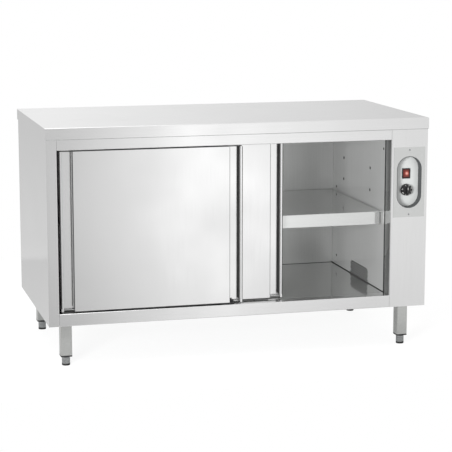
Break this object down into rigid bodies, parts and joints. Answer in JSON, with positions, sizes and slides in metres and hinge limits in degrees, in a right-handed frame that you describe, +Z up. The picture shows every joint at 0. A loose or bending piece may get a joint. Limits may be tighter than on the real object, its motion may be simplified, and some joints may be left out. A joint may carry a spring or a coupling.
{
  "type": "plate warmer cabinet",
  "caption": "Heated stainless cabinet for plates: flat worktop, sliding doors with full-height finger pulls, inner shelf, control column with switch and thermostat, levelling feet.",
  "frame": {"origin": "middle of the cabinet's footprint, on the floor that it stands on", "axes": "+X along the front towards the control column, -Y the way the doors face, +Z up"},
  "size_m": [1.4, 0.7, 0.85],
  "materials": {
    "brushed_stainless": "satin",
    "lining_stainless": "polished",
    "galvanised_sheet": "matte",
    "leg_tube": "satin",
    "foot_metal": "satin",
    "fascia_steel": "satin",
    "screw_steel": "polished",
    "board": "matte",
    "insulation": "matte",
    "rubber_stop": "matte",
    "nylon": "satin",
    "black_plastic": "matte",
    "switch_red": "gloss",
    "knob_black": "satin",
    "control_housing": "matte",
    "copper_tube": "satin",
    "impeller_alloy": "satin",
    "motor_iron": "matte",
    "heater_sheath": "matte",
    "gland_plastic": "matte"
  },
  "bodies": {
    "cabinet": {"worktop": "brushed_stainless", "left_side_panel": "brushed_stainless", "right_side_panel": "brushed_stainless", "back_panel": "brushed_stainless", "left_stile": "brushed_stainless", "top_rail": "brushed_stainless", "bottom_rail": "brushed_stainless", "column_front": "brushed_stainless", "inner_left_wall": "lining_stainless", "inner_right_wall": "lining_stainless", "inner_back_wall": "lining_stainless", "inner_ceiling": "lining_stainless", "inner_floor": "lining_stainless", "shelf_rails": "lining_stainless", "base_panel": "galvanised_sheet", "door_track": "galvanised_sheet", "blower_housing": "galvanised_sheet", "leg_front_left": "leg_tube", "leg_front_right": "leg_tube", "leg_rear_left": "leg_tube", "leg_rear_right": "leg_tube", "worktop_board": "board", "wall_insulation": "insulation", "track_stops": "rubber_stop", "bottom_guide": "black_plastic", "leg_inserts": "black_plastic", "control_plate": "fascia_steel", "control_pocket": "fascia_steel", "plate_screws": "screw_steel", "switch_body": "black_plastic", "thermostat_body": "control_housing", "thermostat_bulb": "copper_tube", "blower_motor": "motor_iron", "heating_element": "heater_sheath", "terminal_block": "black_plastic", "cable_gland": "gland_plastic"},
    "shelf": {"shelf": "lining_stainless"},
    "front_door": {"front_door_skin": "brushed_stainless", "front_door_left_pull": "brushed_stainless", "front_door_right_pull": "brushed_stainless", "front_door_back": "brushed_stainless", "front_door_core": "insulation", "front_door_hangers": "galvanised_sheet"},
    "rear_door": {"rear_door_skin": "brushed_stainless", "rear_door_left_pull": "brushed_stainless", "rear_door_right_pull": "brushed_stainless", "rear_door_back": "brushed_stainless", "rear_door_core": "insulation", "rear_door_hangers": "galvanised_sheet"},
    "switch_rocker": {"switch_rocker": "switch_red"},
    "thermostat_knob": {"thermostat_knob": "knob_black"},
    "blower_impeller": {"blower_impeller": "impeller_alloy"},
    "foot_front_left": {"foot_front_left": "foot_metal"},
    "foot_front_right": {"foot_front_right": "foot_metal"},
    "foot_rear_left": {"foot_rear_left": "foot_metal"},
    "foot_rear_right": {"foot_rear_right": "foot_metal"},
    "front_door_roller_left": {"front_door_roller_left": "nylon"},
    "front_door_roller_right": {"front_door_roller_right": "nylon"},
    "rear_door_roller_left": {"rear_door_roller_left": "nylon"},
    "rear_door_roller_right": {"rear_door_roller_right": "nylon"}
  },
  "joints": [
    {"name": "front_door_slide", "type": "slide", "parent": "cabinet", "child": "front_door", "axis": [1, 0, 0], "range_m": [0, 0.551]},
    {"name": "rear_door_slide", "type": "slide", "parent": "cabinet", "child": "rear_door", "axis": [1, 0, 0], "range_m": [-0.161, 0.39]},
    {"name": "shelf_lift", "type": "slide", "parent": "cabinet", "child": "shelf", "axis": [0, 0, 1], "range_m": [0, 0.04]},
    {"name": "switch_rock", "type": "hinge", "parent": "cabinet", "child": "switch_rocker", "pos_m": [0.6275, -0.3167, 0.644], "axis": [1, 0, 0], "range_deg": [0, 16]},
    {"name": "thermostat_turn", "type": "hinge", "parent": "cabinet", "child": "thermostat_knob", "pos_m": [0.6275, -0.33, 0.584], "axis": [0, 1, 0], "range_deg": [0, 300]},
    {"name": "impeller_spin", "type": "hinge", "parent": "cabinet", "child": "blower_impeller", "pos_m": [0.628, -0.0173, 0.2375], "axis": [0, 1, 0], "continuous": true},
    {"name": "front_door_roller_left_turn", "type": "hinge", "parent": "front_door", "child": "front_door_roller_left", "pos_m": [-0.5545, -0.327, 0.7938], "axis": [0, 1, 0], "range_deg": [-5, 3520]},
    {"name": "front_door_roller_right_turn", "type": "hinge", "parent": "front_door", "child": "front_door_roller_right", "pos_m": [-0.0945, -0.327, 0.7938], "axis": [0, 1, 0], "range_deg": [-5, 3520]},
    {"name": "rear_door_roller_left_turn", "type": "hinge", "parent": "rear_door", "child": "rear_door_roller_left", "pos_m": [-0.3935, -0.287, 0.7938], "axis": [0, 1, 0], "range_deg": [-1030, 2490]},
    {"name": "rear_door_roller_right_turn", "type": "hinge", "parent": "rear_door", "child": "rear_door_roller_right", "pos_m": [0.0665, -0.287, 0.7938], "axis": [0, 1, 0], "range_deg": [-1030, 2490]},
    {"name": "foot_front_left_level", "type": "slide", "parent": "cabinet", "child": "foot_front_left", "axis": [0, 0, -1], "range_m": [0, 0.025]},
    {"name": "foot_front_right_level", "type": "slide", "parent": "cabinet", "child": "foot_front_right", "axis": [0, 0, -1], "range_m": [0, 0.025]},
    {"name": "foot_rear_left_level", "type": "slide", "parent": "cabinet", "child": "foot_rear_left", "axis": [0, 0, -1], "range_m": [0, 0.025]},
    {"name": "foot_rear_right_level", "type": "slide", "parent": "cabinet", "child": "foot_rear_right", "axis": [0, 0, -1], "range_m": [0, 0.025]}
  ],
  "couplings": [
    {"joint": "front_door_roller_left_turn", "follows": "front_door_slide", "rad_per_m": 111.11},
    {"joint": "front_door_roller_right_turn", "follows": "front_door_slide", "rad_per_m": 111.11},
    {"joint": "rear_door_roller_left_turn", "follows": "rear_door_slide", "rad_per_m": 111.11},
    {"joint": "rear_door_roller_right_turn", "follows": "rear_door_slide", "rad_per_m": 111.11}
  ]
}
